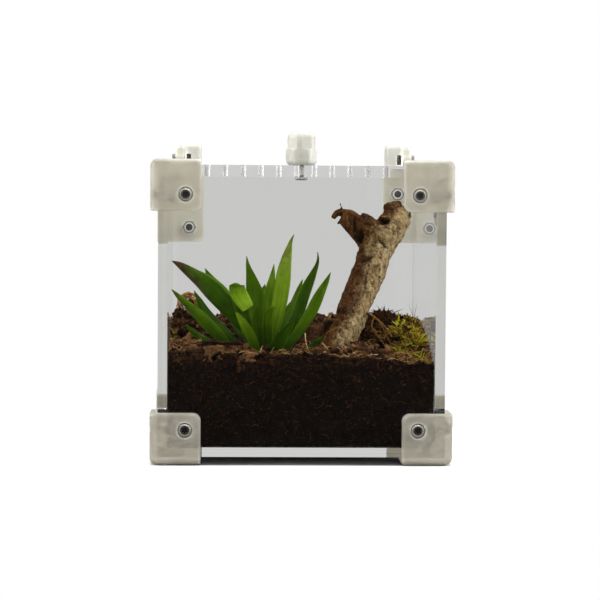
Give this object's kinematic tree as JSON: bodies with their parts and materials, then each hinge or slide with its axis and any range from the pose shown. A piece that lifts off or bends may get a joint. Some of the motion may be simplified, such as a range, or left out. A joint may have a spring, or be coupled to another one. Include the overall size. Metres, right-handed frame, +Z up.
{
  "type": "insect terrarium",
  "caption": "Clear acrylic cube terrarium on printed corner brackets, with a vented lid on two hinges, planted with a rosette, a leaning branch and moss on packed soil.",
  "frame": {"origin": "middle of the box on the plane that its feet stand on", "axes": "+Z up, -Y to the front, +X to the right seen from the front"},
  "size_m": [0.158, 0.158, 0.1737],
  "materials": {
    "clear_acrylic": "clear, polished",
    "printed_plastic": "natural translucent, satin",
    "steel": "plain steel, satin",
    "soil": "moist, crumbly",
    "branch_wood": "weathered, rough",
    "leaf": "waxy",
    "moss": "soft, fibrous",
    "root": "matte, fibrous",
    "bark": "matte, flaky"
  },
  "bodies": {
    "tank": {"floor_panel": "clear_acrylic", "front_panel": "clear_acrylic", "back_panel": "clear_acrylic", "left_panel": "clear_acrylic", "right_panel": "clear_acrylic", "front_bottom_right_bracket": "printed_plastic", "front_bottom_left_bracket": "printed_plastic", "back_bottom_right_bracket": "printed_plastic", "back_bottom_left_bracket": "printed_plastic", "front_top_right_bracket": "printed_plastic", "front_top_left_bracket": "printed_plastic", "right_hinge_bracket": "printed_plastic", "left_hinge_bracket": "printed_plastic", "front_screws": "steel", "back_screws": "steel", "left_screws": "steel", "right_screws": "steel", "front_nuts": "steel", "back_nuts": "steel", "left_nuts": "steel", "right_nuts": "steel", "soil": "soil", "branch": "branch_wood", "rosette_plant": "leaf", "right_moss": "moss", "left_moss": "moss", "root_ring": "root", "bark_chips": "bark"},
    "lid": {"lid_panel": "clear_acrylic", "lid_knob": "printed_plastic", "knob_screw": "steel", "right_hinge_leaf": "printed_plastic", "left_hinge_leaf": "printed_plastic", "hinge_screws": "steel", "hinge_nuts": "steel"}
  },
  "joints": [
    {"name": "lid_hinge", "type": "hinge", "parent": "tank", "child": "lid", "pos_m": [0, 0.0745, 0.1605], "axis": [-1, 0, 0], "range_deg": [0, 100]}
  ]
}
